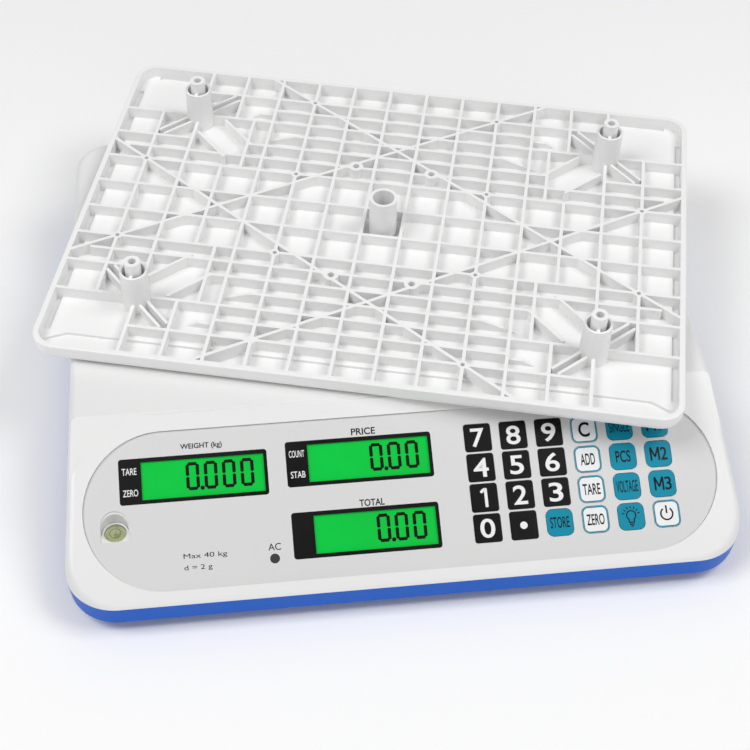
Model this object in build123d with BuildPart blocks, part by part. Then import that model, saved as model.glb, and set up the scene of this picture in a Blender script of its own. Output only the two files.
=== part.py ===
"""Retail price scale: housing, weighing frame, keypad, displays and lift-off platter."""
import os
from math import atan, atan2, cos, degrees, radians, sin, tan

from build123d import *

# ---------------------------------------------------------------- driving dimensions, mm
# body
body_width = 336.0            # at the seam between the two housings
body_front = 84.0             # from the crease, where the panel begins, to the front wall
body_back = 218.0             # from the crease to the rear wall
body_corner_radius = 26.0
deck_height = 62.0            # flat top of the body above the table
seam_height = 19.5
belly_height = 6.5            # underside of the lower housing above the table
side_draft = 8.3              # degrees
belly_draft = 4.0             # degrees
wall = 2.5
deck_edge_radius = 4.0
belly_edge_radius = 2.0
lip_height = 2.5
lip_thickness = 1.2
lip_gap = 0.7
lip_front = 66.0              # the lip stops short of the front wall

# control panel
panel_tilt = 26.3             # degrees from level
panel_wall = 4.5
panel_step = 1.0              # how far the panel stands proud of the shoulders
recess_middle = 47.8          # down the slope from the crease
recess_half_height = 39.5
recess_half_width = 157.2
recess_border = 9.0           # raised border round the recess
recess_depth = 2.0
overlay_thickness = 0.8
overlay_gap = 0.1

# displays on the operator's side
display_size = (72.6, 22.9)
display_corner_radius = 1.5
view_size = (60.0, 18.9)
view_shift = (4.6, 0.0)       # of the view from the middle of its black border
display_places = {"weight": (-102.8, 32.4), "price": (-21.0, 29.9), "total": (-20.6, 65.5)}
glass_margin = 1.2            # glass beyond the view on each side
glass_thickness = 2.8
glass_drop = 2.3              # front of the glass below the panel surface
glass_gap = 0.3
backlight_thickness = 3.5

# keypad: four rows of six keys
key_names = [
    ["7", "8", "9", "clear", "single", "memory_1"],
    ["4", "5", "6", "add", "pieces", "memory_2"],
    ["1", "2", "3", "tare", "voltage", "memory_3"],
    ["0", "point", "store", "zero", "light", "power"],
]
black_columns = 3
key_first_column = 38.8
key_first_row = 23.6
key_column_pitch = 18.0
key_row_pitch = 15.25
black_key_size = (13.2, 13.8)
round_key_size = (13.0, 13.2)
black_key_radius = 1.2
round_key_radius = 3.2
key_gap = 0.3
key_stem_radius = 2.0
key_stem_bottom = 3.4         # below the panel surface
key_travel = 0.5
key_spare = 0.2               # left under a key that is all the way down
stem_hole_radius = 2.6
switch_size = 6.0
switch_height = 3.1
switch_plunger_radius = 1.75
switch_plunger_gap = 0.4      # left between plunger and stem when the key is down

# board behind the panel
board_thickness = 1.6
board_left = -132.0
board_right = 147.0
board_height = 70.0
board_post_radius = 3.2
board_post_columns = [-127.0, 26.0, 142.0]
board_post_rise = 31.3        # of the post rows from the middle of the recess
board_screw_radius = 1.1
board_screw_head_radius = 2.4
board_screw_head = 1.4
board_screw_length = 5.0

# spirit level and charge lamp
level_place = (-142.3, 54.4)
level_radius = 6.4
level_height = 7.0
level_bore_gap = 0.3
level_wall = 1.0
level_well_wall = 2.2
level_floor = 1.5
level_lid = 1.0
arch_rise = 1.4               # up the panel from the level to the middle of the arch above it
arch_height = 8.3             # from there down to its straight edge
lamp_place = (-66.2, 75.5)
lamp_radius = 2.4
lamp_flange_radius = 3.2

# weighing mechanism
weigh_middle = 120.0          # centre of the load cell behind the crease
grid_pitch = 21.6             # the platter's posts and ribs stand on a square grid
post_columns = 5.5            # of that pitch, from the middle
post_rows = 3.5
deck_hole_radius = 11.0
platter_gap = 4.0             # platter rim above the deck when it stands on its seats
seat_height = 8.0
seat_radius = 10.0
seat_spigot_radius = 5.0
seat_bore_gap = 0.3
spider_thickness = 5.0
spider_arm_width = 16.0
spider_hub_top = 46.5
spider_hub_size = (130.0, 40.0)
cell_size = (124.0, 25.0, 18.0)
cell_spacer = 2.5
cell_screw_insets = [9.0, 25.0]
cell_screw_radius = 3.0
cell_screw_head_radius = 5.0
cell_screw_head = 4.0
cell_screw_bite = 12.0
cell_flexure_radius = 6.0
cell_flexure_spacing = 30.0
spacer_length = 34.0
spider_arm_start = 30.0       # along an arm from the middle of the hub
spider_arm_bend = 66.0
spider_hole_radius = 9.0

# power
battery_size = (90.0, 60.0, 32.0)
battery_place = (0.0, 39.0)
battery_terminal = (6.0, 2.5, 4.0)
door_margin = 4.0             # door opening beyond the battery, and ledge beyond the opening
door_thickness = 1.5
door_gap = 0.25
door_screw_radius = 1.5
door_boss_height = 6.0
transformer_size = (38.0, 32.0, 28.0)
transformer_place = (82.0, 17.0)
transformer_core = 14.0
inlet_place = (14.0, 38.0)    # behind the crease, above the table
inlet_flange = (27.0, 18.0)
inlet_flange_thickness = 1.5
inlet_body = (23.0, 14.0)
inlet_depth = 18.0
inlet_socket = (15.6, 8.4)
inlet_socket_depth = 12.0
inlet_pin_radius = 1.2
inlet_pin_spacing = 8.6
inlet_pin_length = 9.0
inlet_pin_tail = 3.0          # behind the inlet's body

# feet
foot_spacing = 272.0
foot_rows = {"front": -50.0, "back": 186.0}
foot_pad_radius = 12.0
foot_pad_height = 4.0
foot_stud_radius = 3.0
foot_stud_top = 18.0
foot_grips = 12
foot_grip_radius = 2.0
foot_insert_radius = 5.5
foot_boss_radius = 8.0
thread_gap = 0.05

# screws that join the two housings
housing_screw_rows = {-35.0: 152.0, 90.0: 150.0, 196.0: 148.0}    # behind the crease: out to the side
housing_screw_radius = 1.5
housing_screw_head_radius = 2.8
housing_screw_head = 2.0
housing_screw_length = 16.0
housing_boss_radius = 4.8
counterbore_depth = 6.0

# customer's display in the rear wall
rear_overlay_size = (214.0, 27.0)
rear_overlay_radius = 3.0
rear_middle = 40.0            # height of its middle
rear_view_size = (58.0, 17.0)
rear_view_pitch = 68.0
rear_recess = 1.0
rear_board_size = (210.0, 24.0)

# platter, lying on its face on the deck
platter_length = 330.0
platter_width = 236.0
platter_corner_radius = 12.0
platter_edge_radius = 5.0
strip_half_length = 152.5
platter_turn = -14.6          # degrees about the vertical
platter_offset = (6.8, 117.2)
platter_rim = 3.0
rib_height = 6.5
border_drop = 1.5
platter_skin = 2.2
rib_thickness = 1.8
diagonal_slope = 2 / 3
post_height = 18.2
post_top_radius = 7.25
post_root_radius = 7.7
post_bore_radius = 6.0
pin_height = 24.5
pin_radius = 4.2
pin_hole_radius = 2.1
centre_tube_radius = 7.5
centre_bore_radius = 5.85
brace_thickness = 1.6
brace_spacing = 4.6
channel_spacing = 18.6
small_boss_radius = 2.6
small_boss_hole = 1.15
large_boss_radius = 4.0
large_boss_hole = 1.8
large_boss_place = (21.5, 44.5)
rim_edge_radius = 0.6
post_taper = 1.0              # degrees
diagonal_rise = 61.2          # where a diagonal crosses the middle of the platter
brace_length = 53.0
channel_middle = 26.3         # from the post towards the middle of the platter
channel_length = 27.4
side_strip_half_length = 99.6
front_strip = 13.7
side_strip = 3.0
rest_gap = 0.05               # between the platter's face and the deck

# ---------------------------------------------------------------- places worked out from them
both = (-1, 1)
tilt = radians(panel_tilt)
draft = radians(side_draft)
turn = radians(platter_turn)
platter_thickness = rib_height + border_drop + platter_skin
straight_x = platter_length / 2 - platter_corner_radius
straight_y = platter_width / 2 - platter_corner_radius
reach_y = straight_x * abs(sin(turn)) + straight_y * cos(turn) + platter_corner_radius
back_most = max(platter_offset[1] + reach_y, body_back)
base_x = -platter_offset[0]
crease_y = (body_front - back_most) / 2
body_depth = body_front + body_back
floor_top = belly_height + wall
shell_height = deck_height - seam_height
seat_top = deck_height + platter_gap - post_height
seat_bottom = seat_top - seat_height
cell_top = spider_hub_top - spider_thickness - cell_spacer
cell_bottom = cell_top - cell_size[2]
board_screw_places = [(x, recess_middle + side * board_post_rise) for x in board_post_columns
                      for side in both]
view_places = [(x + view_shift[0], drop + view_shift[1]) for x, drop in display_places.values()]
overlay_drop = recess_depth - overlay_thickness
screw_bore_depth = housing_screw_length - (seam_height - belly_height - counterbore_depth) + 1
rear_glass_drop = rear_recess + glass_drop - recess_depth
rear_board_front = rear_glass_drop + glass_thickness + backlight_thickness
board_front = glass_drop + glass_thickness + backlight_thickness
glass_size = (view_size[0] + 2 * glass_margin, view_size[1] + 2 * glass_margin)
rear_glass_size = (rear_view_size[0] + 2 * glass_margin, rear_view_size[1] + 2 * glass_margin)
post_places = [(sx * post_columns * grid_pitch, sy * post_rows * grid_pitch) for sx in both for sy in both]
seat_places = [(x, weigh_middle + y) for x, y in post_places]
housing_screw_places = [(side * x, y) for y, x in housing_screw_rows.items() for side in both]
base_screw_places = [(inset - cell_size[0] / 2, weigh_middle) for inset in cell_screw_insets]
top_screw_places = [(cell_size[0] / 2 - inset, weigh_middle) for inset in cell_screw_insets]
foot_places = {f"foot_{row}_{side}": (sign * foot_spacing / 2, y)
               for row, y in foot_rows.items() for side, sign in (("left", -1), ("right", 1))}
key_places = {name: (key_first_column + column * key_column_pitch, key_first_row + row * key_row_pitch)
              for row, names in enumerate(key_names) for column, name in enumerate(names)}
black_keys = [name for row, names in enumerate(key_names) for name in names[:black_columns]][:-1]

# local x of the panel's plane runs to the right, local y up the slope, z out of it
panel_plane = Plane(origin=(base_x, crease_y, deck_height), x_dir=(1, 0, 0),
                    z_dir=(0, -sin(tilt), cos(tilt)))
level_bore = level_radius + level_bore_gap


def level(height, x=0.0, y=0.0):
    """Level plane of the body, with its origin on the crease line unless it is moved."""
    return Plane(origin=(base_x + x, crease_y + y, height))


def under_panel(depth):
    """Plane parallel to the panel, this far below its surface."""
    return panel_plane.offset(-depth)


def down_slope(places):
    """Places on the panel, given by how far they are to the right and down the slope."""
    return Locations(*[(x, -drop) for x, drop in places])


def wall_inset(height):
    """How far the drafted wall leans in at a height."""
    return (height - seam_height) * tan(draft)


def key_shape(name, grow=0.0):
    """Outline of a key, or of the hole that it sits in."""
    black = name in black_keys
    width, height = black_key_size if black else round_key_size
    radius = black_key_radius if black else round_key_radius
    RectangleRounded(width + 2 * grow, height + 2 * grow, radius + grow)


def finish(piece, name):
    """Label a finished piece and write it."""
    piece.part.label = name
    export_step(piece.part, f"parts/{name}.step")


seam_plane = level(seam_height, 0, (body_back - body_front) / 2)
rear_plane = Plane(origin=(base_x, crease_y + body_back - wall_inset(rear_middle), rear_middle),
                   x_dir=(-1, 0, 0), z_dir=(0, cos(draft), sin(draft)))
inlet_plane = Plane(origin=(base_x + body_width / 2 - wall_inset(inlet_place[1]), crease_y + inlet_place[0],
                            inlet_place[1]),
                    x_dir=(0, 1, 0), z_dir=(cos(draft), 0, sin(draft)))
level_axis = panel_plane.from_local_coords(Vector(level_place[0], -level_place[1], -overlay_drop))
level_low_side = panel_plane.from_local_coords(
    Vector(level_place[0], -level_place[1] - level_bore / cos(tilt), -recess_depth))
level_top = level_low_side.Z - 0.2
rear_view_places = [(step * rear_view_pitch, 0) for step in (-1, 0, 1)]

os.makedirs("parts", exist_ok=True)

# ---------------------------------------------------------------- upper housing
with BuildPart() as upper_cavity:
    with BuildSketch(seam_plane):
        RectangleRounded(body_width - 2 * wall, body_depth - 2 * wall, body_corner_radius - wall)
    extrude(amount=shell_height - wall, taper=side_draft)
    split(bisect_by=under_panel(panel_wall), keep=Keep.BOTTOM)

with BuildPart() as housing_bosses:
    with BuildSketch(level(seam_height)):
        with Locations(*housing_screw_places):
            Circle(housing_boss_radius)
    extrude(amount=shell_height - wall / 2)
    with BuildSketch(level(seam_height)):
        with Locations(*housing_screw_places):
            Circle(housing_screw_radius)
    extrude(amount=screw_bore_depth, mode=Mode.SUBTRACT)
    split(bisect_by=under_panel(panel_wall / 2 + recess_depth), keep=Keep.BOTTOM)

with BuildPart() as level_well:
    with BuildSketch(Plane(origin=(level_axis.X, level_axis.Y, level_top - level_height - level_floor))):
        Circle(level_bore + level_well_wall)
    extrude(amount=shell_height)
    split(bisect_by=under_panel(panel_wall / 2 + recess_depth), keep=Keep.BOTTOM)

with BuildPart() as upper_housing:
    with BuildSketch(seam_plane):
        RectangleRounded(body_width, body_depth, body_corner_radius)
    extrude(amount=shell_height, taper=side_draft)
    split(bisect_by=panel_plane, keep=Keep.BOTTOM)
    # rounded edges all round the top, but not along the crease
    tops = upper_housing.faces().filter_by(lambda face: face.normal_at().Z > 0.8)
    crease = [edge for edge in tops[0].edges() if edge in tops[1].edges()]
    fillet([edge for face in tops for edge in face.edges() if edge not in crease], radius=deck_edge_radius)
    add(upper_cavity.part, mode=Mode.SUBTRACT)
    # shoulders beside the raised border of the panel
    with BuildSketch(under_panel(panel_step)):
        with Locations((0, (12 - recess_middle) / 2)):
            Rectangle(body_width + 20, 12 + recess_middle)
        with down_slope([(0, recess_middle)]):
            SlotOverall(2 * (recess_half_width + recess_border), 2 * (recess_half_height + recess_border),
                        mode=Mode.SUBTRACT)
    extrude(amount=12, mode=Mode.SUBTRACT)
    # bosses for the housing screws, the board and the spirit level
    add(housing_bosses.part)
    add(level_well.part)
    with BuildSketch(under_panel(board_front)):
        with down_slope(board_screw_places):
            Circle(board_post_radius)
    extrude(amount=board_front - panel_wall + 0.5)
    with BuildSketch(under_panel(board_front)):
        with down_slope(board_screw_places):
            Circle(board_screw_radius)
    extrude(amount=board_screw_length, mode=Mode.SUBTRACT)
    # recess for the overlay, and what opens through its floor
    with BuildSketch(under_panel(recess_depth)):
        with down_slope([(0, recess_middle)]):
            SlotOverall(2 * recess_half_width, 2 * recess_half_height)
    extrude(amount=recess_depth + 5, mode=Mode.SUBTRACT)
    with BuildSketch(under_panel(panel_wall + 1)):
        with down_slope(view_places):
            Rectangle(glass_size[0] + 2 * glass_gap, glass_size[1] + 2 * glass_gap)
        with down_slope(list(key_places.values())):
            Circle(stem_hole_radius)
        with down_slope([lamp_place]):
            Circle(lamp_radius)
    extrude(amount=panel_wall, mode=Mode.SUBTRACT)
    # pockets that the keys go down into
    with BuildSketch(under_panel(recess_depth + key_travel + key_spare)):
        for name, place in key_places.items():
            with down_slope([place]):
                with BuildSketch(mode=Mode.PRIVATE) as key_pocket:
                    key_shape(name, key_gap)
                add(key_pocket.sketch)
    extrude(amount=key_travel + key_spare + panel_wall / 2, mode=Mode.SUBTRACT)
    with BuildSketch(Plane(origin=(level_axis.X, level_axis.Y, level_top - level_height))):
        Circle(level_bore)
    extrude(amount=shell_height, mode=Mode.SUBTRACT)
    # clearance holes for the platter's posts and its centre tube
    with BuildSketch(level(deck_height + 1)):
        with Locations(*seat_places, (0, weigh_middle)):
            Circle(deck_hole_radius)
    extrude(amount=-wall - 3, mode=Mode.SUBTRACT)
    # recess and openings for the customer's display, opening for the mains inlet
    with BuildSketch(rear_plane):
        RectangleRounded(*rear_overlay_size, rear_overlay_radius)
    extrude(amount=-rear_recess, mode=Mode.SUBTRACT)
    with BuildSketch(rear_plane):
        with Locations(*rear_view_places):
            Rectangle(rear_glass_size[0] + 2 * glass_gap, rear_glass_size[1] + 2 * glass_gap)
    extrude(amount=-wall - 1, mode=Mode.SUBTRACT)
    with BuildSketch(rear_plane.offset(-wall + 0.3)):
        with GridLocations(rear_board_size[0] - 6, rear_board_size[1] - 6, 2, 2):
            Circle(board_post_radius - 0.4)
    extrude(amount=wall - 0.3 - rear_board_front)
    with BuildSketch(inlet_plane):
        Rectangle(*inlet_body)
    extrude(amount=-wall - 3, mode=Mode.SUBTRACT)
finish(upper_housing, "upper_housing")

# ---------------------------------------------------------------- lower housing
with BuildPart() as lower_housing:
    with BuildSketch(seam_plane):
        RectangleRounded(body_width, body_depth, body_corner_radius)
    extrude(amount=belly_height - seam_height, taper=belly_draft)
    fillet(lower_housing.faces().sort_by(Axis.Z)[0].edges(), radius=belly_edge_radius)
    with BuildSketch(seam_plane):
        RectangleRounded(body_width - 2 * wall, body_depth - 2 * wall, body_corner_radius - wall)
    extrude(amount=floor_top - seam_height, taper=belly_draft, mode=Mode.SUBTRACT)
    # lip that reaches up inside the upper housing
    inset = wall + lip_gap
    lip_inner = inset + lip_thickness
    with BuildSketch(seam_plane.offset(-lip_height)):
        RectangleRounded(body_width - 2 * wall + 1, body_depth - 2 * wall + 1,
                         body_corner_radius - wall + 0.5)
        RectangleRounded(body_width - 2 * lip_inner, body_depth - 2 * lip_inner,
                         body_corner_radius - lip_inner, mode=Mode.SUBTRACT)
        with Locations((0, -body_depth / 2)):
            Rectangle(body_width, 2 * (body_front - lip_front), mode=Mode.SUBTRACT)
    extrude(amount=lip_height)
    with BuildSketch(seam_plane):
        RectangleRounded(body_width - 2 * inset, body_depth - 2 * inset, body_corner_radius - inset)
        RectangleRounded(body_width - 2 * lip_inner, body_depth - 2 * lip_inner,
                         body_corner_radius - lip_inner, mode=Mode.SUBTRACT)
        with Locations((0, -body_depth / 2)):
            Rectangle(body_width, 2 * (body_front - lip_front), mode=Mode.SUBTRACT)
    extrude(amount=lip_height)
    # bosses: housing screws, feet, door screws
    with BuildSketch(level(belly_height + 1)):
        with Locations(*housing_screw_places):
            Circle(housing_boss_radius)
        with Locations(*foot_places.values()):
            Circle(foot_boss_radius)
    extrude(amount=seam_height - belly_height - 1)
    door_screw_reach = battery_size[1] / 2 + 1.5 * door_margin
    door_screw_places = [(battery_place[0], battery_place[1] + side * door_screw_reach) for side in both]
    with BuildSketch(level(belly_height + 1)):
        with Locations(*door_screw_places):
            Circle(door_screw_radius + 1.8)
    extrude(amount=door_boss_height)
    # battery opening with a ledge for its door
    with BuildSketch(level(belly_height)):
        with Locations(battery_place):
            RectangleRounded(battery_size[0] + 4 * door_margin, battery_size[1] + 4 * door_margin, 4)
    extrude(amount=door_thickness, mode=Mode.SUBTRACT)
    with BuildSketch(level(belly_height)):
        with Locations(battery_place):
            RectangleRounded(battery_size[0] + door_margin, battery_size[1] + door_margin, 2)
        with Locations(*door_screw_places):
            Circle(door_screw_radius)
        with Locations(*foot_places.values()):
            Circle(foot_insert_radius)
        with Locations(*housing_screw_places):
            Circle(housing_screw_radius)
        with Locations(*base_screw_places):
            Circle(cell_screw_radius)
    extrude(amount=shell_height, mode=Mode.SUBTRACT)
    with BuildSketch(level(belly_height)):
        with Locations(*housing_screw_places):
            Circle(housing_screw_head_radius + 0.4)
    extrude(amount=counterbore_depth, mode=Mode.SUBTRACT)
finish(lower_housing, "lower_housing")

# ---------------------------------------------------------------- control panel
with BuildPart() as panel_overlay:
    with BuildSketch(under_panel(recess_depth)):
        with down_slope([(0, recess_middle)]):
            SlotOverall(2 * (recess_half_width - overlay_gap), 2 * (recess_half_height - overlay_gap))
        with down_slope(display_places.values()):
            RectangleRounded(*display_size, display_corner_radius, mode=Mode.SUBTRACT)
        for key, place in key_places.items():
            with down_slope([place]):
                with BuildSketch(mode=Mode.PRIVATE) as key_hole:
                    key_shape(key, key_gap)
                add(key_hole.sketch, mode=Mode.SUBTRACT)
        with down_slope([lamp_place]):
            Circle(lamp_radius, mode=Mode.SUBTRACT)
        with down_slope([(level_place[0], level_place[1] - arch_rise)]):
            Circle(level_bore + overlay_gap, mode=Mode.SUBTRACT)
        with down_slope([(level_place[0], level_place[1] - arch_rise + arch_height / 2)]):
            Rectangle(2 * level_bore + 2 * overlay_gap, arch_height, mode=Mode.SUBTRACT)
    extrude(amount=overlay_thickness)
finish(panel_overlay, "panel_overlay")

for display, place in display_places.items():
    with BuildPart() as display_window:
        with BuildSketch(under_panel(recess_depth)):
            with down_slope([place]):
                RectangleRounded(*display_size, display_corner_radius)
            with down_slope([(place[0] + view_shift[0], place[1] + view_shift[1])]):
                Rectangle(*view_size, mode=Mode.SUBTRACT)
        extrude(amount=overlay_thickness)
    finish(display_window, f"display_window_{display}")

for name in key_places:
    with BuildPart() as key:
        with BuildSketch(under_panel(recess_depth)):
            with down_slope([key_places[name]]):
                key_shape(name)
        extrude(amount=overlay_thickness)
        with BuildSketch(under_panel(key_stem_bottom)):
            with down_slope([key_places[name]]):
                Circle(key_stem_radius)
        extrude(amount=key_stem_bottom - recess_depth)
    finish(key, f"key_{name}")

with BuildPart() as charge_lamp:
    with BuildSketch(under_panel(board_front)):
        with down_slope([lamp_place]):
            Circle(lamp_flange_radius)
    extrude(amount=board_front - panel_wall - glass_gap)
    with BuildSketch(under_panel(board_front)):
        with down_slope([lamp_place]):
            Circle(lamp_radius)
    extrude(amount=board_front - overlay_drop)
finish(charge_lamp, "charge_lamp")

with BuildPart() as level_vial:
    with BuildSketch(Plane(origin=(level_axis.X, level_axis.Y, level_top - level_height))):
        Circle(level_radius)
    extrude(amount=level_height)
    with BuildSketch(Plane(origin=(level_axis.X, level_axis.Y, level_top))):
        Circle(level_radius - level_wall)
    extrude(amount=level_floor - level_height, mode=Mode.SUBTRACT)
finish(level_vial, "level_vial")

with BuildPart() as level_lens:
    with BuildSketch(Plane(origin=(level_axis.X, level_axis.Y, level_top - level_lid))):
        Circle(level_radius - level_wall)
    extrude(amount=level_lid)
finish(level_lens, "level_lens")

# ---------------------------------------------------------------- boards and displays
with BuildPart() as lcd_modules:
    with BuildSketch(under_panel(glass_drop + glass_thickness)):
        with down_slope(view_places):
            Rectangle(*glass_size)
    extrude(amount=glass_thickness)
    with BuildSketch(rear_plane.offset(-rear_glass_drop - glass_thickness)):
        with Locations(*rear_view_places):
            Rectangle(*rear_glass_size)
    extrude(amount=glass_thickness)
finish(lcd_modules, "lcd_modules")

with BuildPart() as backlights:
    with BuildSketch(under_panel(board_front)):
        with down_slope(view_places):
            Rectangle(*glass_size)
    extrude(amount=backlight_thickness)
    with BuildSketch(rear_plane.offset(-rear_board_front)):
        with Locations(*rear_view_places):
            Rectangle(*rear_glass_size)
    extrude(amount=backlight_thickness)
finish(backlights, "backlights")

with BuildPart() as main_board:
    with BuildSketch(under_panel(board_front + board_thickness)):
        with down_slope([((board_left + board_right) / 2, recess_middle)]):
            Rectangle(board_right - board_left, board_height)
        with down_slope(board_screw_places):
            Circle(board_screw_radius, mode=Mode.SUBTRACT)
    extrude(amount=board_thickness)
finish(main_board, "main_board")

with BuildPart() as board_screws:
    with BuildSketch(under_panel(board_front + board_thickness)):
        with down_slope(board_screw_places):
            Circle(board_screw_head_radius)
    extrude(amount=-board_screw_head)
    with BuildSketch(under_panel(board_front + board_thickness + board_screw_head)):
        with down_slope(board_screw_places):
            Circle(board_screw_radius)
    extrude(amount=board_screw_head + board_thickness + board_screw_length - 0.5)
finish(board_screws, "board_screws")

switch_top = key_stem_bottom + key_travel + switch_plunger_gap
with BuildPart() as key_switches:
    with BuildSketch(under_panel(board_front)):
        with down_slope(key_places.values()):
            Rectangle(switch_size, switch_size)
    extrude(amount=switch_height)
    with BuildSketch(under_panel(board_front)):
        with down_slope(key_places.values()):
            Circle(switch_plunger_radius)
    extrude(amount=board_front - switch_top)
finish(key_switches, "key_switches")

with BuildPart() as rear_overlay:
    with BuildSketch(rear_plane.offset(-rear_recess)):
        RectangleRounded(rear_overlay_size[0] - 2 * overlay_gap, rear_overlay_size[1] - 2 * overlay_gap,
                         rear_overlay_radius)
        with Locations(*rear_view_places):
            RectangleRounded(*rear_view_size, display_corner_radius, mode=Mode.SUBTRACT)
    extrude(amount=overlay_thickness)
finish(rear_overlay, "rear_overlay")

with BuildPart() as rear_board:
    with BuildSketch(rear_plane.offset(-rear_board_front)):
        Rectangle(*rear_board_size)
    extrude(amount=-board_thickness)
finish(rear_board, "rear_board")

# ---------------------------------------------------------------- power
with BuildPart() as battery:
    with BuildSketch(level(floor_top, *battery_place)):
        RectangleRounded(battery_size[0], battery_size[1], 2)
    extrude(amount=battery_size[2])
    fillet(battery.faces().sort_by(Axis.Z)[-1].edges(), radius=1.5)
    with BuildSketch(level(floor_top + battery_size[2] - 1, *battery_place)):
        with Locations((battery_size[0] / 2 - 8, -10), (battery_size[0] / 2 - 8, 10)):
            Rectangle(*battery_terminal[:2])
    extrude(amount=battery_terminal[2] + 1)
finish(battery, "battery")

with BuildPart() as battery_door:
    with BuildSketch(level(belly_height, *battery_place)):
        RectangleRounded(battery_size[0] + 4 * door_margin - 2 * door_gap,
                         battery_size[1] + 4 * door_margin - 2 * door_gap, 4 - door_gap)
        with Locations((0, -door_screw_reach), (0, door_screw_reach)):
            Circle(door_screw_radius, mode=Mode.SUBTRACT)
    extrude(amount=door_thickness)
    with BuildSketch(level(belly_height + door_thickness, *battery_place)):
        RectangleRounded(battery_size[0] + door_margin - 2 * door_gap,
                         battery_size[1] + door_margin - 2 * door_gap, 2 - door_gap)
        Rectangle(battery_size[0] - 4, battery_size[1] - 4, mode=Mode.SUBTRACT)
    extrude(amount=wall - door_thickness)
    # finger grooves
    with BuildSketch(level(belly_height, *battery_place)):
        with GridLocations(0, 5, 1, 3):
            SlotOverall(26, 2)
    extrude(amount=0.6, mode=Mode.SUBTRACT)
finish(battery_door, "battery_door")

with BuildPart() as door_screws:
    with BuildSketch(level(belly_height + 0.6)):
        with Locations(*door_screw_places):
            Circle(door_screw_radius)
    extrude(amount=door_boss_height)
    with BuildSketch(level(belly_height - 1)):
        with Locations(*door_screw_places):
            Circle(2 * door_screw_radius - 0.2)
            Rectangle(0.8, 2.4, mode=Mode.SUBTRACT)
            Rectangle(2.4, 0.8, mode=Mode.SUBTRACT)
    extrude(amount=1)
    with BuildSketch(level(belly_height - 0.4)):
        with Locations(*door_screw_places):
            Circle(door_screw_radius)
    extrude(amount=1.2)
finish(door_screws, "door_screws")

with BuildPart() as transformer:
    with BuildSketch(level(floor_top, *transformer_place)):
        Rectangle(transformer_size[0], transformer_core)
    extrude(amount=transformer_size[2])
    with BuildSketch(level(floor_top + 3, *transformer_place)):
        RectangleRounded(transformer_size[0] - 10, transformer_size[1], 4)
    extrude(amount=transformer_size[2] - 6)
    with BuildSketch(level(floor_top, *transformer_place)):
        with Locations((-transformer_size[0] / 2 - 3, 0), (transformer_size[0] / 2 + 3, 0)):
            Rectangle(8, transformer_core)
            Circle(1.6, mode=Mode.SUBTRACT)
    extrude(amount=1.2)
finish(transformer, "transformer")

with BuildPart() as mains_inlet:
    with BuildSketch(inlet_plane):
        RectangleRounded(*inlet_flange, 2)
    extrude(amount=inlet_flange_thickness)
    fillet(mains_inlet.faces().sort_by(Axis.X)[-1].edges(), radius=0.6)
    with BuildSketch(inlet_plane):
        Rectangle(inlet_body[0] - 0.2, inlet_body[1] - 0.2)
    extrude(amount=-inlet_depth)
    with BuildSketch(inlet_plane.offset(inlet_flange_thickness)):
        SlotOverall(*inlet_socket)
    extrude(amount=-inlet_socket_depth - inlet_flange_thickness, mode=Mode.SUBTRACT)
    with BuildSketch(inlet_plane):
        with GridLocations(inlet_pin_spacing, 0, 2, 1):
            Circle(inlet_pin_radius)
    extrude(amount=-inlet_depth, mode=Mode.SUBTRACT)
finish(mains_inlet, "mains_inlet")

with BuildPart() as inlet_pins:
    with BuildSketch(inlet_plane.offset(-inlet_depth - inlet_pin_tail)):
        with GridLocations(inlet_pin_spacing, 0, 2, 1):
            Circle(inlet_pin_radius)
    extrude(amount=inlet_depth + inlet_pin_tail - inlet_socket_depth + inlet_pin_length)
    chamfer(inlet_pins.faces().sort_by(Axis.X)[-2:].edges(), length=inlet_pin_radius / 3)
finish(inlet_pins, "inlet_pins")

# ---------------------------------------------------------------- weighing mechanism
with BuildPart() as load_cell:
    with BuildSketch(level(cell_bottom, 0, weigh_middle)):
        Rectangle(*cell_size[:2])
    extrude(amount=cell_size[2])
    flexure_plane = Plane(origin=(base_x, crease_y + weigh_middle, cell_bottom + cell_size[2] / 2),
                          x_dir=(1, 0, 0), z_dir=(0, -1, 0))
    with BuildSketch(flexure_plane):
        Rectangle(cell_flexure_spacing, cell_flexure_radius)
        with GridLocations(cell_flexure_spacing, 0, 2, 1):
            Circle(cell_flexure_radius)
    extrude(amount=cell_size[1], both=True, mode=Mode.SUBTRACT)
    with BuildSketch(level(cell_bottom)):
        with Locations(*base_screw_places):
            Circle(cell_screw_radius)
    extrude(amount=cell_screw_bite, mode=Mode.SUBTRACT)
    with BuildSketch(level(cell_top)):
        with Locations(*top_screw_places):
            Circle(cell_screw_radius)
    extrude(amount=-cell_screw_bite, mode=Mode.SUBTRACT)
finish(load_cell, "load_cell")

spacer_reach = (cell_size[0] - spacer_length) / 2
with BuildPart() as cell_spacers:
    with BuildSketch(level(floor_top)):
        with Locations((-spacer_reach, weigh_middle)):
            Rectangle(spacer_length, cell_size[1])
        with Locations(*base_screw_places):
            Circle(cell_screw_radius, mode=Mode.SUBTRACT)
    extrude(amount=cell_bottom - floor_top)
    with BuildSketch(level(cell_top)):
        with Locations((spacer_reach, weigh_middle)):
            Rectangle(spacer_length, cell_size[1])
        with Locations(*top_screw_places):
            Circle(cell_screw_radius, mode=Mode.SUBTRACT)
    extrude(amount=cell_spacer)
finish(cell_spacers, "cell_spacers")

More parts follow.
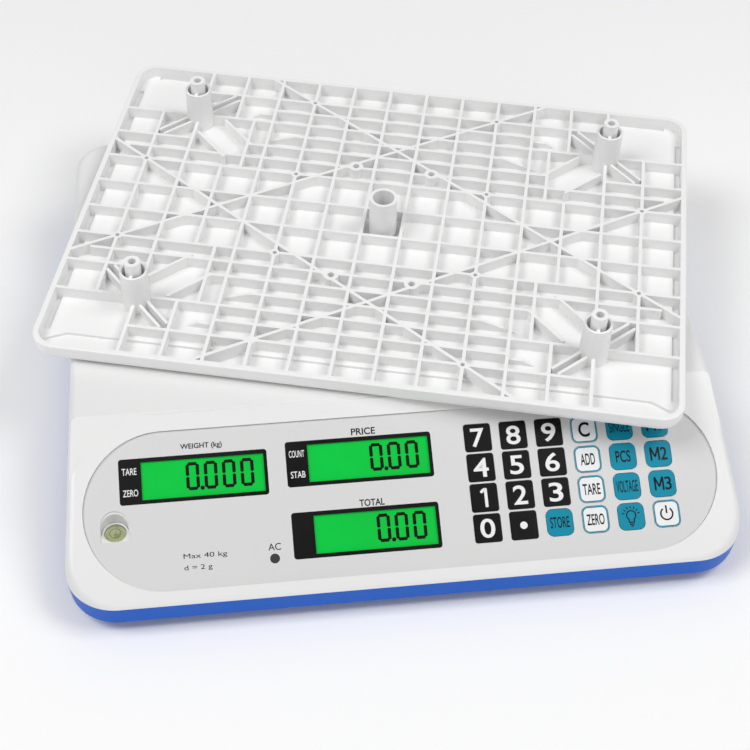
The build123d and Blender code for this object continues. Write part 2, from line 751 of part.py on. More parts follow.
with BuildPart() as cell_base_screws:
    with BuildSketch(level(belly_height - cell_screw_head)):
        with Locations(*base_screw_places):
            Circle(cell_screw_head_radius)
            RegularPolygon(cell_screw_radius, 6, mode=Mode.SUBTRACT)
    extrude(amount=cell_screw_head)
    with BuildSketch(level(belly_height - cell_screw_head / 2)):
        with Locations(*base_screw_places):
            Circle(cell_screw_radius)
    extrude(amount=cell_bottom - belly_height + cell_screw_head / 2 + cell_screw_bite - 1)
finish(cell_base_screws, "cell_base_screws")

with BuildPart() as cell_top_screws:
    with BuildSketch(level(spider_hub_top + cell_screw_head)):
        with Locations(*top_screw_places):
            Circle(cell_screw_head_radius)
            RegularPolygon(cell_screw_radius, 6, mode=Mode.SUBTRACT)
    extrude(amount=-cell_screw_head)
    with BuildSketch(level(spider_hub_top + cell_screw_head / 2)):
        with Locations(*top_screw_places):
            Circle(cell_screw_radius)
    extrude(amount=cell_top - spider_hub_top - cell_screw_head / 2 - cell_screw_bite + 1)
finish(cell_top_screws, "cell_top_screws")

with BuildPart() as spider_frame:
    with BuildSketch(level(spider_hub_top, 0, weigh_middle)):
        RectangleRounded(*spider_hub_size, 6)
    extrude(amount=-spider_thickness)
    with BuildSketch(level(seat_bottom)):
        with Locations(*seat_places):
            Circle(seat_radius)
    extrude(amount=-spider_thickness)
    for post_x, post_y in post_places:
        reach = (post_x ** 2 + post_y ** 2) ** 0.5
        along = (post_x / reach, post_y / reach, 0)
        with BuildSketch(Plane(origin=(base_x, crease_y + weigh_middle, 0), x_dir=along,
                               z_dir=(along[1], -along[0], 0))):
            with BuildLine():
                Polyline((spider_arm_start, spider_hub_top), (spider_arm_bend, spider_hub_top),
                         (reach - seat_radius - 1, seat_bottom), (reach, seat_bottom),
                         (reach, seat_bottom - spider_thickness),
                         (reach - seat_radius - 2, seat_bottom - spider_thickness),
                         (spider_arm_bend - 1, spider_hub_top - spider_thickness),
                         (spider_arm_start, spider_hub_top - spider_thickness), close=True)
            make_face()
        extrude(amount=spider_arm_width / 2, both=True)
    with BuildSketch(level(spider_hub_top)):
        with Locations(*seat_places):
            Circle(seat_spigot_radius)
        with Locations(*top_screw_places):
            Circle(cell_screw_radius)
        with Locations((-40, weigh_middle), (0, weigh_middle)):
            Circle(spider_hole_radius)
    extrude(amount=-4 * spider_thickness, mode=Mode.SUBTRACT)
finish(spider_frame, "spider_frame")

with BuildPart() as post_seats:
    with BuildSketch(level(seat_bottom)):
        with Locations(*seat_places):
            Circle(seat_radius)
    extrude(amount=seat_height)
    with BuildSketch(level(seat_bottom)):
        with Locations(*seat_places):
            Circle(seat_spigot_radius)
    extrude(amount=-spider_thickness)
    with BuildSketch(level(seat_top)):
        with Locations(*seat_places):
            Circle(pin_radius + seat_bore_gap)
    extrude(amount=-seat_height + 1, mode=Mode.SUBTRACT)
finish(post_seats, "post_seats")

# ---------------------------------------------------------------- screws of the housing
with BuildPart() as housing_screws:
    with BuildSketch(level(belly_height + counterbore_depth - housing_screw_head)):
        with Locations(*housing_screw_places):
            Circle(housing_screw_head_radius)
            Rectangle(0.8, 3.2, mode=Mode.SUBTRACT)
            Rectangle(3.2, 0.8, mode=Mode.SUBTRACT)
    extrude(amount=housing_screw_head / 2)
    with BuildSketch(level(belly_height + counterbore_depth - housing_screw_head / 2)):
        with Locations(*housing_screw_places):
            Circle(housing_screw_head_radius)
    extrude(amount=housing_screw_head / 2)
    with BuildSketch(level(belly_height + counterbore_depth - housing_screw_head / 2)):
        with Locations(*housing_screw_places):
            Circle(housing_screw_radius)
    extrude(amount=housing_screw_head / 2 + housing_screw_length)
finish(housing_screws, "housing_screws")

# ---------------------------------------------------------------- feet
with BuildPart() as foot_inserts:
    with BuildSketch(level(belly_height)):
        with Locations(*foot_places.values()):
            Circle(foot_insert_radius)
            Circle(foot_stud_radius + thread_gap, mode=Mode.SUBTRACT)
    extrude(amount=seam_height - belly_height)
finish(foot_inserts, "foot_inserts")

for name, place in foot_places.items():
    with BuildPart() as foot:
        with BuildSketch(level(0, *place)):
            Circle(foot_pad_radius)
            with PolarLocations(foot_pad_radius + 1, foot_grips):
                Circle(foot_grip_radius, mode=Mode.SUBTRACT)
        extrude(amount=foot_pad_height)
        chamfer(foot.faces().sort_by(Axis.Z)[0].edges(), length=0.8)
        with BuildSketch(level(foot_pad_height, *place)):
            Circle(foot_stud_radius)
        extrude(amount=foot_stud_top - foot_pad_height)
        chamfer(foot.faces().sort_by(Axis.Z)[-1].edges(), length=0.6)
    finish(foot, name)

# ---------------------------------------------------------------- platter
platter_plane = Plane(origin=(base_x + platter_offset[0], crease_y + platter_offset[1],
                              deck_height + rest_gap + platter_thickness),
                      x_dir=(cos(turn), sin(turn), 0), z_dir=(0, 0, 1))
inner_length = platter_length - 2 * platter_rim
inner_width = platter_width - 2 * platter_rim
inner_radius = platter_corner_radius - platter_rim
rib_reach_x = inner_length + 1
rib_reach_y = inner_width + 1
small_boss_places = [(side * 6.5 * grid_pitch, end * 1.5 * grid_pitch) for side in both for end in both]
small_boss_places += [(side * 2.5 * grid_pitch, end * 1.5 * grid_pitch) for side in both for end in both]
small_boss_places += [(side * 2.5 * grid_pitch, end * 4.5 * grid_pitch) for side in both for end in both]
# the one boss without a hole comes last
small_boss_places.sort(key=lambda place: place == (-2.5 * grid_pitch, -4.5 * grid_pitch))
diagonal_near = Vector((diagonal_rise - rib_reach_y / 2) / diagonal_slope, rib_reach_y / 2)
diagonal_far = Vector(rib_reach_x / 2, diagonal_rise - diagonal_slope * rib_reach_x / 2)
diagonal_middle = (diagonal_near + diagonal_far) / 2
diagonal_length = (diagonal_far - diagonal_near).length
diagonal_angle = degrees(atan(diagonal_slope))


def column(x, start, end):
    """Rib across the platter, at this distance from its middle."""
    with Locations((x, (start + end) / 2)):
        Rectangle(rib_thickness, abs(end - start))


def row(y, start, end):
    """Rib along the platter, at this distance from its middle."""
    with Locations(((start + end) / 2, y)):
        Rectangle(abs(end - start), rib_thickness)


def brace_turn(x, y):
    """Angle of the line from a post to the middle of the platter, at 45 degrees to its sides."""
    return degrees(atan2(-y / abs(y), -x / abs(x)))


# posts with their pins, and the tube in the middle
with BuildPart() as platter_posts:
    with BuildSketch(platter_plane.offset(-rib_height - 0.5)):
        with Locations(*post_places):
            Circle(post_root_radius)
    extrude(amount=rib_height + post_height + 0.5, taper=post_taper)
    with BuildSketch(platter_plane.offset(-rib_height - 0.5)):
        Circle(centre_tube_radius)
    extrude(amount=rib_height + post_height + 0.5)
    with BuildSketch(platter_plane.offset(post_height)):
        with Locations(*post_places):
            Circle(post_bore_radius)
        Circle(centre_bore_radius)
    extrude(amount=-rib_height - post_height, mode=Mode.SUBTRACT)
    with BuildSketch(platter_plane.offset(-rib_height - 0.5)):
        with Locations(*post_places):
            Circle(pin_radius)
    extrude(amount=rib_height + pin_height + 0.5)
    with BuildSketch(platter_plane.offset(-rib_height - 0.5)):
        with Locations(*[(x, y - (pin_radius + post_bore_radius) / 2) for x, y in post_places]):
            Rectangle(rib_thickness, post_bore_radius - pin_radius + 1.2)
    extrude(amount=rib_height + post_height + 0.5)
    with BuildSketch(platter_plane.offset(pin_height)):
        with Locations(*post_places):
            Circle(pin_hole_radius)
    extrude(amount=-pin_height, mode=Mode.SUBTRACT)

with BuildPart() as platter:
    with BuildSketch(platter_plane.offset(-platter_thickness)):
        RectangleRounded(platter_length, platter_width, platter_corner_radius)
    extrude(amount=platter_thickness)
    fillet(platter.faces().sort_by(Axis.Z)[0].edges(), radius=platter_edge_radius)
    fillet(platter.faces().sort_by(Axis.Z)[-1].edges(), radius=rim_edge_radius)
    with BuildSketch(platter_plane):
        RectangleRounded(inner_length, inner_width, inner_radius)
    extrude(amount=-rib_height, mode=Mode.SUBTRACT)
    # lower strips of the floor along the rim
    with BuildSketch(platter_plane.offset(-rib_height)):
        with Locations((0, (inner_width - side_strip) / 2)):
            Rectangle(2 * strip_half_length, side_strip)
        with GridLocations(inner_length - side_strip, 0, 2, 1):
            Rectangle(side_strip, 2 * side_strip_half_length)
        with BuildLine():
            Polyline((-strip_half_length + 3, front_strip - inner_width / 2),
                     (strip_half_length - 3, front_strip - inner_width / 2),
                     (inner_length / 2 - 1.2, front_strip - 5.7 - inner_width / 2),
                     (inner_length / 2 - 6, 0.5 - inner_width / 2),
                     (6 - inner_length / 2, 0.5 - inner_width / 2),
                     (1.2 - inner_length / 2, front_strip - 5.7 - inner_width / 2), close=True)
        make_face()
    extrude(amount=-border_drop, mode=Mode.SUBTRACT)
    # ribs, all as high as the rim
    with BuildSketch(platter_plane):
        for side in both:
            for place in (0.5, 1.5, 2.5, 3.5, 5.5):
                column(side * place * grid_pitch, -rib_reach_y / 2, rib_reach_y / 2)
            column(side * 6.5 * grid_pitch, -3.5 * grid_pitch, 3.5 * grid_pitch)
            column(side * 4.5 * grid_pitch, -1.5 * grid_pitch, 1.5 * grid_pitch)
            for end in both:
                column(side * 4.5 * grid_pitch, end * 3.5 * grid_pitch, end * rib_reach_y / 2)
                column(side * 4 * grid_pitch, end * 1.5 * grid_pitch, end * 3.5 * grid_pitch)
                row(side * 2.5 * grid_pitch, end * 5.5 * grid_pitch, end * rib_reach_x / 2)
            for place in (0.5, 1.5, 3.5):
                row(side * place * grid_pitch, -rib_reach_x / 2, rib_reach_x / 2)
            row(side * 2 * grid_pitch, -strip_half_length, strip_half_length)
            row(side * 2.5 * grid_pitch, -4 * grid_pitch, 4 * grid_pitch)
            row(side * 4.5 * grid_pitch, -5.5 * grid_pitch, 5.5 * grid_pitch)
        # four diagonals, each from rim to rim
        for side in both:
            for end in both:
                with Locations(Location((side * diagonal_middle.X, end * diagonal_middle.Y, 0),
                                        (0, 0, -side * end * diagonal_angle))):
                    Rectangle(diagonal_length, rib_thickness)
        # braces beside each post
        for post_x, post_y in post_places:
            with Locations(Location((post_x, post_y, 0), (0, 0, brace_turn(post_x, post_y)))):
                with Locations((-brace_spacing / 2, 0), (brace_spacing / 2, 0)):
                    Rectangle(brace_thickness, brace_length)
                with Locations((channel_middle, -channel_spacing / 2),
                               (channel_middle, channel_spacing / 2)):
                    Rectangle(channel_length, brace_thickness)
        with Locations(*small_boss_places):
            Circle(small_boss_radius)
        with GridLocations(2 * large_boss_place[0], 2 * large_boss_place[1], 2, 2):
            Circle(large_boss_radius)
        # what stays open in it
        with Locations(*post_places):
            Circle(post_bore_radius, mode=Mode.SUBTRACT)
        Circle(centre_bore_radius, mode=Mode.SUBTRACT)
        with Locations(*small_boss_places[:-1]):
            Circle(small_boss_hole, mode=Mode.SUBTRACT)
        with GridLocations(2 * large_boss_place[0], 2 * large_boss_place[1], 2, 2):
            Circle(large_boss_hole, mode=Mode.SUBTRACT)
    extrude(amount=-rib_height - border_drop - 0.5)
    # two pairs of ribs that slope down to the floor at their ends
    for side in both:
        with BuildSketch(Plane(origin=platter_plane.from_local_coords((0, side * 3 * grid_pitch, 0)),
                               x_dir=platter_plane.x_dir, z_dir=-platter_plane.y_dir)):
            with BuildLine():
                Polyline((-80, -rib_height), (-60, 0), (60, 0), (80, -rib_height), (80, -rib_height - 1),
                         (-80, -rib_height - 1), close=True)
            make_face()
        extrude(amount=rib_thickness / 2, both=True)
        with BuildSketch(Plane(origin=platter_plane.from_local_coords((0, side * 4 * grid_pitch, 0)),
                               x_dir=platter_plane.x_dir, z_dir=-platter_plane.y_dir)):
            with BuildLine():
                Polyline((-90, -rib_height), (-84, -rib_height / 2), (-76, -rib_height / 2), (-76, 0),
                         (76, 0), (76, -rib_height / 2), (84, -rib_height / 2), (90, -rib_height),
                         (90, -rib_height - 1), (-90, -rib_height - 1), close=True)
            make_face()
        extrude(amount=rib_thickness / 2, both=True)
    add(platter_posts.part)
finish(platter, "platter")
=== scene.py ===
from math import cos, pi, radians, sin

import bpy
from mathutils import Matrix, Vector


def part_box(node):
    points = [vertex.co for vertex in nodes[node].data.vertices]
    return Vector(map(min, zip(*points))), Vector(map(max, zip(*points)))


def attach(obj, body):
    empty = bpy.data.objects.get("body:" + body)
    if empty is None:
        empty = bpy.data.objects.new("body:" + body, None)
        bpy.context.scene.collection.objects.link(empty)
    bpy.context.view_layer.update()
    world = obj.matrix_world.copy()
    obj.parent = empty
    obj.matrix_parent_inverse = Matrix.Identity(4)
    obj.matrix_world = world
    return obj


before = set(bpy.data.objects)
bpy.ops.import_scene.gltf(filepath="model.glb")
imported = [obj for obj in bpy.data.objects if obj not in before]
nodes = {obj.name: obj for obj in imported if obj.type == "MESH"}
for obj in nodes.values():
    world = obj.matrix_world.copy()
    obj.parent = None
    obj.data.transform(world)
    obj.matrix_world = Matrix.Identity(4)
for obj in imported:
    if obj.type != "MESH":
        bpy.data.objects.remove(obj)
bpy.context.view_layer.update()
mm = 0.001
inkThick = 0.03     # mm, thickness of a printed stroke
inkLift = 0.02      # mm, its middle above the film
noiseLow = 0.3      # noise seldom leaves this span
noiseHigh = 0.7
patchLow = 0.35     # and the broad patches keep within this one
patchHigh = 0.65
skinDepth = 0.0001  # metres that a full step of bump stands for
filmDepth = 0.00005


def clearSelection():
    bpy.ops.object.select_all(action="DESELECT")


def pick(piece):
    clearSelection()
    piece.select_set(True)
    bpy.context.view_layer.objects.active = piece


def settle(piece):  # the place goes into the mesh, the object stays at the origin
    pick(piece)
    bpy.ops.object.transform_apply(location=True, rotation=True, scale=True)


def joinAll(pieces, name):
    clearSelection()
    for piece in pieces:
        piece.select_set(True)
    bpy.context.view_layer.objects.active = pieces[0]
    if len(pieces) > 1:
        bpy.ops.object.join()
    joined = bpy.context.view_layer.objects.active
    joined.name = name
    joined.data.name = name
    return joined


# surface effects that several finishes share

def newGroup(name, inputs, outputs):
    group = bpy.data.node_groups.new(name, "ShaderNodeTree")
    for label, value in inputs.items():
        socket = group.interface.new_socket(name=label, in_out="INPUT",
                                            socket_type="NodeSocketFloat")
        socket.default_value = value
    for label, kind in outputs.items():
        group.interface.new_socket(name=label, in_out="OUTPUT", socket_type=kind)
    return group, group.nodes.new("NodeGroupInput"), group.nodes.new("NodeGroupOutput")


def link(tree, source, target):
    tree.links.new(source, target)


def makeNoise(tree, scale, detail=2.0, roughness=0.5):
    noise = tree.nodes.new("ShaderNodeTexNoise")
    noise.inputs["Scale"].default_value = scale
    noise.inputs["Detail"].default_value = detail
    noise.inputs["Roughness"].default_value = roughness
    return noise


def remap(tree, source, low, high, fromLow=0.0, fromHigh=1.0):
    node = tree.nodes.new("ShaderNodeMapRange")
    node.inputs["From Min"].default_value = fromLow
    node.inputs["From Max"].default_value = fromHigh
    node.inputs["To Min"].default_value = low
    node.inputs["To Max"].default_value = high
    link(tree, source, node.inputs["Value"])
    return node.outputs["Result"]


# moulded skin: faint orange peel with broad patches where the tool was polished more
mouldedSkin, skinIn, skinOut = newGroup(
    "mouldedSkin", {"Peel Scale": 900.0, "Patch Scale": 14.0},
    {"Height": "NodeSocketFloat", "Patch": "NodeSocketFloat"})
skinPlace = mouldedSkin.nodes.new("ShaderNodeTexCoord")
peel = makeNoise(mouldedSkin, 900.0, 3.0)
patch = makeNoise(mouldedSkin, 14.0, 4.0, 0.6)
link(mouldedSkin, skinPlace.outputs["Object"], peel.inputs["Vector"])
link(mouldedSkin, skinPlace.outputs["Object"], patch.inputs["Vector"])
link(mouldedSkin, skinIn.outputs["Peel Scale"], peel.inputs["Scale"])
link(mouldedSkin, skinIn.outputs["Patch Scale"], patch.inputs["Scale"])
link(mouldedSkin, peel.outputs["Fac"], skinOut.inputs["Height"])
link(mouldedSkin, patch.outputs["Fac"], skinOut.inputs["Patch"])

# film weave: the fine pimpled texture of a printed overlay
filmTexture, filmIn, filmOut = newGroup(
    "filmTexture", {"Cell Scale": 2600.0}, {"Height": "NodeSocketFloat"})
filmPlace = filmTexture.nodes.new("ShaderNodeTexCoord")
cells = filmTexture.nodes.new("ShaderNodeTexVoronoi")
link(filmTexture, filmPlace.outputs["Object"], cells.inputs["Vector"])
link(filmTexture, filmIn.outputs["Cell Scale"], cells.inputs["Scale"])
link(filmTexture, cells.outputs["Distance"], filmOut.inputs["Height"])

# dust and painted shade: corners and the sides of ribs found by ambient occlusion, broken up by
# noise; light parts go darker there as painted shade, dark parts go lighter as dust
cornerDustAndShade, dustAndShadeIn, dustAndShadeOut = newGroup(
    "cornerDustAndShade", {"Reach": 0.004, "Amount": 0.3}, {"Mask": "NodeSocketFloat"})
shut = cornerDustAndShade.nodes.new("ShaderNodeAmbientOcclusion")
shut.samples = 4
dustAndShadePlace = cornerDustAndShade.nodes.new("ShaderNodeTexCoord")
broken = makeNoise(cornerDustAndShade, 60.0, 3.0)
link(cornerDustAndShade, dustAndShadePlace.outputs["Object"], broken.inputs["Vector"])
link(cornerDustAndShade, dustAndShadeIn.outputs["Reach"], shut.inputs["Distance"])
openness = remap(cornerDustAndShade, shut.outputs["AO"], 1.0, 0.0, 0.35, 0.95)
blotch = cornerDustAndShade.nodes.new("ShaderNodeMath")
blotch.operation = "MULTIPLY"
link(cornerDustAndShade, openness, blotch.inputs[0])
uneven = remap(cornerDustAndShade, broken.outputs["Fac"], 0.4, 1.0, noiseLow, noiseHigh)
link(cornerDustAndShade, uneven, blotch.inputs[1])
thinned = cornerDustAndShade.nodes.new("ShaderNodeMath")
thinned.operation = "MULTIPLY"
link(cornerDustAndShade, blotch.outputs[0], thinned.inputs[0])
link(cornerDustAndShade, dustAndShadeIn.outputs["Amount"], thinned.inputs[1])
link(cornerDustAndShade, thinned.outputs[0], dustAndShadeOut.inputs["Mask"])

# machined lines that run along one direction
machined, machinedIn, machinedOut = newGroup(
    "machinedLines", {"Line Scale": 300.0},
    {"Height": "NodeSocketFloat", "Tone": "NodeSocketFloat"})
machinedPlace = machined.nodes.new("ShaderNodeTexCoord")
stretch = machined.nodes.new("ShaderNodeMapping")
stretch.inputs["Scale"].default_value = (0.05, 1.0, 1.0)
lines = makeNoise(machined, 300.0, 3.0)
link(machined, machinedPlace.outputs["Object"], stretch.inputs["Vector"])
link(machined, stretch.outputs["Vector"], lines.inputs["Vector"])
link(machined, machinedIn.outputs["Line Scale"], lines.inputs["Scale"])
link(machined, lines.outputs["Fac"], machinedOut.inputs["Height"])
link(machined, lines.outputs["Fac"], machinedOut.inputs["Tone"])


def placeGroup(tree, group, values):
    node = tree.nodes.new("ShaderNodeGroup")
    node.node_tree = group
    for label, value in values.items():
        node.inputs[label].default_value = value
    return node


def startFinish(name, look):
    material = bpy.data.materials.new(name)
    material.use_nodes = True
    shader = material.node_tree.nodes["Principled BSDF"]
    shader.inputs["Base Color"].default_value = (*look["colour"], 1.0)
    shader.inputs["Roughness"].default_value = look["roughness"]
    shader.inputs["Metallic"].default_value = look.get("metallic", 0.0)
    shader.inputs["IOR"].default_value = look.get("ior", 1.5)
    shader.inputs["Coat Weight"].default_value = look.get("coat", 0.0)
    shader.inputs["Specular IOR Level"].default_value = look.get("specular", 0.5)
    material.diffuse_color = (*look["colour"], 1.0)
    return material, material.node_tree, shader


def mixColours(tree, mask, first, second):
    mix = tree.nodes.new("ShaderNodeMix")
    mix.data_type = "RGBA"
    mix.inputs["A"].default_value = (*first, 1.0)
    mix.inputs["B"].default_value = (*second, 1.0)
    link(tree, mask, mix.inputs["Factor"])
    return mix


def bumpFrom(tree, height, shader, strength, distance):
    bump = tree.nodes.new("ShaderNodeBump")
    bump.inputs["Strength"].default_value = strength
    bump.inputs["Distance"].default_value = distance
    link(tree, height, bump.inputs["Height"])
    link(tree, bump.outputs["Normal"], shader.inputs["Normal"])


def mouldedFinish(name, look):
    material, tree, shader = startFinish(name, look)
    skin = placeGroup(tree, mouldedSkin, {"Peel Scale": look["peelScale"],
                                          "Patch Scale": look["patchScale"]})
    dustAndShade = placeGroup(tree, cornerDustAndShade, {"Reach": look["dustAndShadeReach"], "Amount": look["dustAndShade"]})
    # the corner colour: painted shade where it is darker than the part, dust where it is lighter
    tone = mixColours(tree, dustAndShade.outputs["Mask"], look["colour"], look["dustAndShadeColour"])
    link(tree, tone.outputs["Result"], shader.inputs["Base Color"])
    roughness = remap(tree, skin.outputs["Patch"], look["roughness"] - look["roughSpread"],
                      look["roughness"] + look["roughSpread"], patchLow, patchHigh)
    link(tree, roughness, shader.inputs["Roughness"])
    bumpFrom(tree, skin.outputs["Height"], shader, look["peel"], skinDepth)
    return material


def printedFinish(name, look):
    material, tree, shader = startFinish(name, look)
    film = placeGroup(tree, filmTexture, {"Cell Scale": look["cellScale"]})
    skin = placeGroup(tree, mouldedSkin, {"Peel Scale": 300.0, "Patch Scale": look["patchScale"]})
    tone = mixColours(tree, skin.outputs["Patch"], look["colour"], look["worn"])
    link(tree, tone.outputs["Result"], shader.inputs["Base Color"])
    roughness = remap(tree, skin.outputs["Patch"], look["roughness"] - 0.06,
                      look["roughness"] + 0.06, patchLow, patchHigh)
    link(tree, roughness, shader.inputs["Roughness"])
    bumpFrom(tree, film.outputs["Height"], shader, look["pimple"], filmDepth)
    return material


def metalFinish(name, look):
    material, tree, shader = startFinish(name, look)
    machinedNode = placeGroup(tree, machined, {"Line Scale": look["lineScale"]})
    along = remap(tree, machinedNode.outputs["Tone"], 0.0, 1.0, noiseLow, noiseHigh)
    tone = mixColours(tree, along, look["colour"], look["worn"])
    link(tree, tone.outputs["Result"], shader.inputs["Base Color"])
    roughness = remap(tree, machinedNode.outputs["Tone"], look["roughness"] - 0.08,
                      look["roughness"] + 0.1, noiseLow, noiseHigh)
    link(tree, roughness, shader.inputs["Roughness"])
    bumpFrom(tree, machinedNode.outputs["Height"], shader, look["lines"], skinDepth)
    return material


# the corner colour is darker on the white, platter, blue and vial plastics, a painted shade, and
# lighter on the black, battery, rubber and board ones, as dust
whiteLook = {
    "colour": (0.80, 0.80, 0.797), "roughness": 0.34, "roughSpread": 0.05, "peelScale": 700.0,
    "patchScale": 12.0, "peel": 0.06, "dustAndShade": 0.12, "dustAndShadeReach": 0.003,
    "dustAndShadeColour": (0.62, 0.61, 0.59), "specular": 0.4,
}
# the platter's white is a lighter copy of the body's white, painted light that brightens its
# pockets
platterLook = {
    **whiteLook, "colour": (0.90, 0.90, 0.897), "dustAndShade": 0.05,
}
blueLook = {
    "colour": (0.006, 0.12, 0.60), "roughness": 0.36, "roughSpread": 0.06, "peelScale": 700.0,
    "patchScale": 12.0, "peel": 0.08, "dustAndShade": 0.3, "dustAndShadeReach": 0.003,
    "dustAndShadeColour": (0.014, 0.11, 0.48), "specular": 0.15,
}
blackMouldLook = {
    "colour": (0.02, 0.02, 0.021), "roughness": 0.45, "roughSpread": 0.07, "peelScale": 900.0,
    "patchScale": 30.0, "peel": 0.12, "dustAndShade": 0.4, "dustAndShadeReach": 0.002,
    "dustAndShadeColour": (0.06, 0.058, 0.055),
}
vialLook = {
    "colour": (0.86, 0.88, 0.83), "roughness": 0.3, "roughSpread": 0.04, "peelScale": 900.0,
    "patchScale": 40.0, "peel": 0.05, "dustAndShade": 0.25, "dustAndShadeReach": 0.002,
    "dustAndShadeColour": (0.6, 0.6, 0.52),
}
batteryLook = {
    "colour": (0.05, 0.05, 0.055), "roughness": 0.55, "roughSpread": 0.08, "peelScale": 500.0,
    "patchScale": 20.0, "peel": 0.3, "dustAndShade": 0.3, "dustAndShadeReach": 0.004,
    "dustAndShadeColour": (0.12, 0.12, 0.12),
}
rubberLook = {
    "colour": (0.028, 0.028, 0.028), "roughness": 0.75, "roughSpread": 0.08,
    "peelScale": 1200.0, "patchScale": 60.0, "peel": 0.4, "dustAndShade": 0.5, "dustAndShadeReach": 0.003,
    "dustAndShadeColour": (0.10, 0.095, 0.09),
}
boardLook = {
    "colour": (0.012, 0.14, 0.05), "roughness": 0.3, "roughSpread": 0.05, "peelScale": 220.0,
    "patchScale": 90.0, "peel": 0.5, "dustAndShade": 0.3, "dustAndShadeReach": 0.002,
    "dustAndShadeColour": (0.03, 0.22, 0.1),
}
greyFilmLook = {
    "colour": (0.66, 0.66, 0.66), "worn": (0.69, 0.69, 0.685), "roughness": 0.46,
    "patchScale": 9.0, "cellScale": 2200.0, "pimple": 0.12, "specular": 0.3,
}
blackFilmLook = {
    "colour": (0.003, 0.003, 0.003), "worn": (0.006, 0.006, 0.006), "roughness": 0.38,
    "patchScale": 30.0, "cellScale": 2200.0, "pimple": 0.12, "specular": 0.15,
}
tealFilmLook = {
    "colour": (0.001, 0.24, 0.36), "worn": (0.002, 0.27, 0.40), "roughness": 0.40,
    "patchScale": 60.0, "cellScale": 2200.0, "pimple": 0.12, "specular": 0.15,
}
whiteFilmLook = {
    "colour": (0.80, 0.81, 0.81), "worn": (0.84, 0.84, 0.84), "roughness": 0.42,
    "patchScale": 60.0, "cellScale": 2200.0, "pimple": 0.12,
}
steelLook = {
    "colour": (0.60, 0.60, 0.58), "worn": (0.52, 0.52, 0.50), "roughness": 0.32,
    "metallic": 1.0, "lineScale": 2500.0, "lines": 0.2,
}
aluminiumLook = {
    "colour": (0.78, 0.78, 0.80), "worn": (0.68, 0.68, 0.70), "roughness": 0.35,
    "metallic": 1.0, "lineScale": 900.0, "lines": 0.25,
}
castLook = {
    "colour": (0.60, 0.60, 0.61), "worn": (0.48, 0.48, 0.49), "roughness": 0.5, "metallic": 1.0,
    "lineScale": 160.0, "lines": 0.5,
}
ironLook = {
    "colour": (0.16, 0.15, 0.14), "worn": (0.10, 0.09, 0.08), "roughness": 0.5, "metallic": 0.8,
    "lineScale": 1800.0, "lines": 0.6,
}
brassLook = {
    "colour": (0.70, 0.50, 0.20), "worn": (0.58, 0.40, 0.15), "roughness": 0.3, "metallic": 1.0,
    "lineScale": 1500.0, "lines": 0.2,
}
glowLook = {
    "colour": (0.001, 0.44, 0.045), "roughness": 0.22, "edge": (0.004, 0.36, 0.035),
    "light": 0.42, "patchScale": 18.0, "specular": 0.15,
}


def displayFinish(name, look):  # a lit green field, a little uneven
    material, tree, shader = startFinish(name, look)
    skin = placeGroup(tree, mouldedSkin, {"Peel Scale": 400.0, "Patch Scale": look["patchScale"]})
    patches = remap(tree, skin.outputs["Patch"], 0.0, 1.0, noiseLow, noiseHigh)
    tone = mixColours(tree, patches, look["colour"], look["edge"])
    link(tree, tone.outputs["Result"], shader.inputs["Base Color"])
    link(tree, tone.outputs["Result"], shader.inputs["Emission Color"])
    shader.inputs["Emission Strength"].default_value = look["light"]
    roughness = remap(tree, skin.outputs["Patch"], look["roughness"] - 0.05,
                      look["roughness"] + 0.08)
    link(tree, roughness, shader.inputs["Roughness"])
    return material


finishes = {
    "whiteAbs": mouldedFinish("whiteAbs", whiteLook),
    "platterAbs": mouldedFinish("platterAbs", platterLook),
    "blueAbs": mouldedFinish("blueAbs", blueLook),
    "blackMould": mouldedFinish("blackMould", blackMouldLook),
    "vialPlastic": mouldedFinish("vialPlastic", vialLook),
    "batteryCase": mouldedFinish("batteryCase", batteryLook),
    "rubber": mouldedFinish("rubber", rubberLook),
    "board": mouldedFinish("board", boardLook),
    "greyFilm": printedFinish("greyFilm", greyFilmLook),
    "blackFilm": printedFinish("blackFilm", blackFilmLook),
    "tealFilm": printedFinish("tealFilm", tealFilmLook),
    "whiteFilm": printedFinish("whiteFilm", whiteFilmLook),
    "steel": metalFinish("steel", steelLook),
    "aluminium": metalFinish("aluminium", aluminiumLook),
    "castAluminium": metalFinish("castAluminium", castLook),
    "iron": metalFinish("iron", ironLook),
    "brass": metalFinish("brass", brassLook),
    "glow": displayFinish("glow", glowLook),
}
print("finishes made")

# finishes of the CAD nodes
tealKeys = ["key_single", "key_memory_1", "key_pieces", "key_memory_2", "key_voltage",
            "key_memory_3", "key_store", "key_light"]
whiteKeys = ["key_clear", "key_add", "key_tare", "key_zero", "key_power"]
nodeFinish = {
    "upper_housing": "whiteAbs", "platter": "platterAbs", "lower_housing": "blueAbs",
    "battery_door": "blueAbs", "panel_overlay": "greyFilm", "rear_overlay": "blackFilm",
    "level_vial": "vialPlastic", "charge_lamp": "blackMould", "lcd_modules": "glow",
    "backlights": "glow", "main_board": "board", "rear_board": "board",
    "key_switches": "blackMould", "battery": "batteryCase", "transformer": "iron",
    "mains_inlet": "blackMould", "inlet_pins": "brass", "load_cell": "aluminium",
    "cell_spacers": "aluminium", "spider_frame": "castAluminium", "post_seats": "rubber",
    "foot_inserts": "brass",
}
for name, node in nodes.items():
    finish = nodeFinish.get(name)
    if name in tealKeys:
        finish = "tealFilm"
    elif name in whiteKeys:
        finish = "whiteFilm"
    elif finish is None and (name.startswith("key_") or name.startswith("display_window")):
        finish = "blackFilm"
    elif finish is None and name.startswith("foot_"):
        finish = "rubber"
    elif finish is None and name.endswith("screws"):
        finish = "steel"
    node.data.materials.clear()
    node.data.materials.append(finishes[finish or "vialPlastic"])
print("CAD nodes finished")

